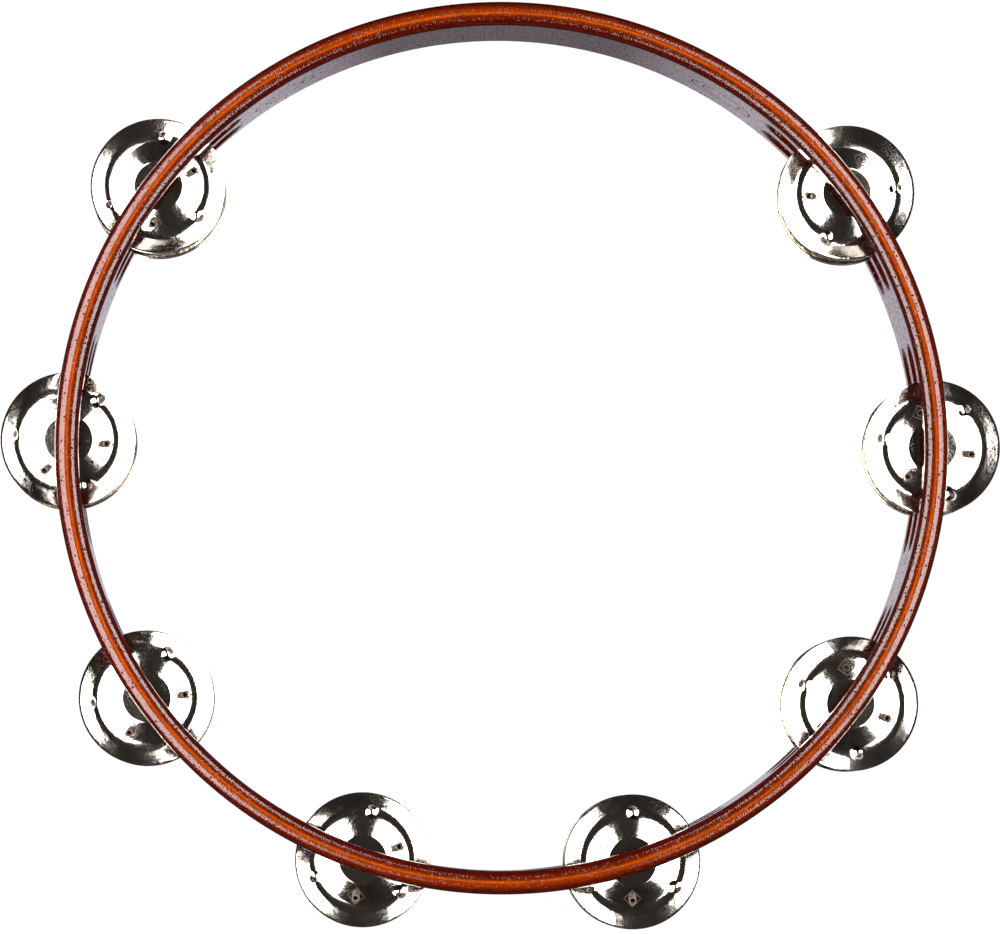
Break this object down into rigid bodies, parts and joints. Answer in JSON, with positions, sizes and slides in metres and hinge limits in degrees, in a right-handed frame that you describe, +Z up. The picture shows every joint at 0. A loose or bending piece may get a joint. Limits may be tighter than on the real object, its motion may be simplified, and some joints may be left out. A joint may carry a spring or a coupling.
{
  "type": "tambourine",
  "caption": "Headless wooden tambourine: a lacquered bentwood hoop with rows of slots, paired stamped metal jingles loose on steel pins, and a plain stretch for the hand.",
  "frame": {"origin": "on the hoop's axis, in the plane that the hoop's lower edge rests on", "axes": "+Z up along the hoop's axis, +Y to the middle of the plain grip stretch, +X completes a right-handed frame"},
  "size_m": [0.2858, 0.2637, 0.05],
  "materials": {
    "lacquered_wood": "reddish brown stain under high gloss lacquer",
    "pale_core_wood": "lighter orange core layer under the same gloss lacquer",
    "jingle_metal": "bright nickel plate, mirror polished",
    "pin_steel": "bright drawn steel wire"
  },
  "bodies": {
    "hoop": {"hoop_outer_ply": "lacquered_wood", "hoop_core_ply": "pale_core_wood", "hoop_inner_ply": "lacquered_wood", "pin_1": "pin_steel", "pin_2": "pin_steel", "pin_3": "pin_steel", "pin_4": "pin_steel", "pin_5": "pin_steel", "pin_6": "pin_steel", "pin_7": "pin_steel", "pin_8": "pin_steel"},
    "jingle_1_bottom_row_lower": {"jingle_1_bottom_row_lower": "jingle_metal"},
    "jingle_1_bottom_row_upper": {"jingle_1_bottom_row_upper": "jingle_metal"},
    "jingle_1_top_row_lower": {"jingle_1_top_row_lower": "jingle_metal"},
    "jingle_1_top_row_upper": {"jingle_1_top_row_upper": "jingle_metal"},
    "jingle_2_bottom_row_lower": {"jingle_2_bottom_row_lower": "jingle_metal"},
    "jingle_2_bottom_row_upper": {"jingle_2_bottom_row_upper": "jingle_metal"},
    "jingle_2_top_row_lower": {"jingle_2_top_row_lower": "jingle_metal"},
    "jingle_2_top_row_upper": {"jingle_2_top_row_upper": "jingle_metal"},
    "jingle_3_bottom_row_lower": {"jingle_3_bottom_row_lower": "jingle_metal"},
    "jingle_3_bottom_row_upper": {"jingle_3_bottom_row_upper": "jingle_metal"},
    "jingle_3_top_row_lower": {"jingle_3_top_row_lower": "jingle_metal"},
    "jingle_3_top_row_upper": {"jingle_3_top_row_upper": "jingle_metal"},
    "jingle_4_bottom_row_lower": {"jingle_4_bottom_row_lower": "jingle_metal"},
    "jingle_4_bottom_row_upper": {"jingle_4_bottom_row_upper": "jingle_metal"},
    "jingle_4_top_row_lower": {"jingle_4_top_row_lower": "jingle_metal"},
    "jingle_4_top_row_upper": {"jingle_4_top_row_upper": "jingle_metal"},
    "jingle_5_bottom_row_lower": {"jingle_5_bottom_row_lower": "jingle_metal"},
    "jingle_5_bottom_row_upper": {"jingle_5_bottom_row_upper": "jingle_metal"},
    "jingle_5_top_row_lower": {"jingle_5_top_row_lower": "jingle_metal"},
    "jingle_5_top_row_upper": {"jingle_5_top_row_upper": "jingle_metal"},
    "jingle_6_bottom_row_lower": {"jingle_6_bottom_row_lower": "jingle_metal"},
    "jingle_6_bottom_row_upper": {"jingle_6_bottom_row_upper": "jingle_metal"},
    "jingle_6_top_row_lower": {"jingle_6_top_row_lower": "jingle_metal"},
    "jingle_6_top_row_upper": {"jingle_6_top_row_upper": "jingle_metal"},
    "jingle_7_bottom_row_lower": {"jingle_7_bottom_row_lower": "jingle_metal"},
    "jingle_7_bottom_row_upper": {"jingle_7_bottom_row_upper": "jingle_metal"},
    "jingle_7_top_row_lower": {"jingle_7_top_row_lower": "jingle_metal"},
    "jingle_7_top_row_upper": {"jingle_7_top_row_upper": "jingle_metal"},
    "jingle_8_bottom_row_lower": {"jingle_8_bottom_row_lower": "jingle_metal"},
    "jingle_8_bottom_row_upper": {"jingle_8_bottom_row_upper": "jingle_metal"},
    "jingle_8_top_row_lower": {"jingle_8_top_row_lower": "jingle_metal"},
    "jingle_8_top_row_upper": {"jingle_8_top_row_upper": "jingle_metal"}
  },
  "joints": [
    {"name": "slide_1_bottom_row_lower", "type": "slide", "parent": "hoop", "child": "jingle_1_bottom_row_lower", "axis": [0, 0, 1], "range_m": [0, 0.0028]},
    {"name": "slide_1_bottom_row_upper", "type": "slide", "parent": "jingle_1_bottom_row_lower", "child": "jingle_1_bottom_row_upper", "axis": [0, 0, 1], "range_m": [0, 0.0028]},
    {"name": "slide_1_top_row_lower", "type": "slide", "parent": "hoop", "child": "jingle_1_top_row_lower", "axis": [0, 0, 1], "range_m": [0, 0.0028]},
    {"name": "slide_1_top_row_upper", "type": "slide", "parent": "jingle_1_top_row_lower", "child": "jingle_1_top_row_upper", "axis": [0, 0, 1], "range_m": [0, 0.0028]},
    {"name": "slide_2_bottom_row_lower", "type": "slide", "parent": "hoop", "child": "jingle_2_bottom_row_lower", "axis": [0, 0, 1], "range_m": [0, 0.0028]},
    {"name": "slide_2_bottom_row_upper", "type": "slide", "parent": "jingle_2_bottom_row_lower", "child": "jingle_2_bottom_row_upper", "axis": [0, 0, 1], "range_m": [0, 0.0028]},
    {"name": "slide_2_top_row_lower", "type": "slide", "parent": "hoop", "child": "jingle_2_top_row_lower", "axis": [0, 0, 1], "range_m": [0, 0.0028]},
    {"name": "slide_2_top_row_upper", "type": "slide", "parent": "jingle_2_top_row_lower", "child": "jingle_2_top_row_upper", "axis": [0, 0, 1], "range_m": [0, 0.0028]},
    {"name": "slide_3_bottom_row_lower", "type": "slide", "parent": "hoop", "child": "jingle_3_bottom_row_lower", "axis": [0, 0, 1], "range_m": [0, 0.0028]},
    {"name": "slide_3_bottom_row_upper", "type": "slide", "parent": "jingle_3_bottom_row_lower", "child": "jingle_3_bottom_row_upper", "axis": [0, 0, 1], "range_m": [0, 0.0028]},
    {"name": "slide_3_top_row_lower", "type": "slide", "parent": "hoop", "child": "jingle_3_top_row_lower", "axis": [0, 0, 1], "range_m": [0, 0.0028]},
    {"name": "slide_3_top_row_upper", "type": "slide", "parent": "jingle_3_top_row_lower", "child": "jingle_3_top_row_upper", "axis": [0, 0, 1], "range_m": [0, 0.0028]},
    {"name": "slide_4_bottom_row_lower", "type": "slide", "parent": "hoop", "child": "jingle_4_bottom_row_lower", "axis": [0, 0, 1], "range_m": [0, 0.0028]},
    {"name": "slide_4_bottom_row_upper", "type": "slide", "parent": "jingle_4_bottom_row_lower", "child": "jingle_4_bottom_row_upper", "axis": [0, 0, 1], "range_m": [0, 0.0028]},
    {"name": "slide_4_top_row_lower", "type": "slide", "parent": "hoop", "child": "jingle_4_top_row_lower", "axis": [0, 0, 1], "range_m": [0, 0.0028]},
    {"name": "slide_4_top_row_upper", "type": "slide", "parent": "jingle_4_top_row_lower", "child": "jingle_4_top_row_upper", "axis": [0, 0, 1], "range_m": [0, 0.0028]},
    {"name": "slide_5_bottom_row_lower", "type": "slide", "parent": "hoop", "child": "jingle_5_bottom_row_lower", "axis": [0, 0, 1], "range_m": [0, 0.0028]},
    {"name": "slide_5_bottom_row_upper", "type": "slide", "parent": "jingle_5_bottom_row_lower", "child": "jingle_5_bottom_row_upper", "axis": [0, 0, 1], "range_m": [0, 0.0028]},
    {"name": "slide_5_top_row_lower", "type": "slide", "parent": "hoop", "child": "jingle_5_top_row_lower", "axis": [0, 0, 1], "range_m": [0, 0.0028]},
    {"name": "slide_5_top_row_upper", "type": "slide", "parent": "jingle_5_top_row_lower", "child": "jingle_5_top_row_upper", "axis": [0, 0, 1], "range_m": [0, 0.0028]},
    {"name": "slide_6_bottom_row_lower", "type": "slide", "parent": "hoop", "child": "jingle_6_bottom_row_lower", "axis": [0, 0, 1], "range_m": [0, 0.0028]},
    {"name": "slide_6_bottom_row_upper", "type": "slide", "parent": "jingle_6_bottom_row_lower", "child": "jingle_6_bottom_row_upper", "axis": [0, 0, 1], "range_m": [0, 0.0028]},
    {"name": "slide_6_top_row_lower", "type": "slide", "parent": "hoop", "child": "jingle_6_top_row_lower", "axis": [0, 0, 1], "range_m": [0, 0.0028]},
    {"name": "slide_6_top_row_upper", "type": "slide", "parent": "jingle_6_top_row_lower", "child": "jingle_6_top_row_upper", "axis": [0, 0, 1], "range_m": [0, 0.0028]},
    {"name": "slide_7_bottom_row_lower", "type": "slide", "parent": "hoop", "child": "jingle_7_bottom_row_lower", "axis": [0, 0, 1], "range_m": [0, 0.0028]},
    {"name": "slide_7_bottom_row_upper", "type": "slide", "parent": "jingle_7_bottom_row_lower", "child": "jingle_7_bottom_row_upper", "axis": [0, 0, 1], "range_m": [0, 0.0028]},
    {"name": "slide_7_top_row_lower", "type": "slide", "parent": "hoop", "child": "jingle_7_top_row_lower", "axis": [0, 0, 1], "range_m": [0, 0.0028]},
    {"name": "slide_7_top_row_upper", "type": "slide", "parent": "jingle_7_top_row_lower", "child": "jingle_7_top_row_upper", "axis": [0, 0, 1], "range_m": [0, 0.0028]},
    {"name": "slide_8_bottom_row_lower", "type": "slide", "parent": "hoop", "child": "jingle_8_bottom_row_lower", "axis": [0, 0, 1], "range_m": [0, 0.0028]},
    {"name": "slide_8_bottom_row_upper", "type": "slide", "parent": "jingle_8_bottom_row_lower", "child": "jingle_8_bottom_row_upper", "axis": [0, 0, 1], "range_m": [0, 0.0028]},
    {"name": "slide_8_top_row_lower", "type": "slide", "parent": "hoop", "child": "jingle_8_top_row_lower", "axis": [0, 0, 1], "range_m": [0, 0.0028]},
    {"name": "slide_8_top_row_upper", "type": "slide", "parent": "jingle_8_top_row_lower", "child": "jingle_8_top_row_upper", "axis": [0, 0, 1], "range_m": [0, 0.0028]}
  ]
}
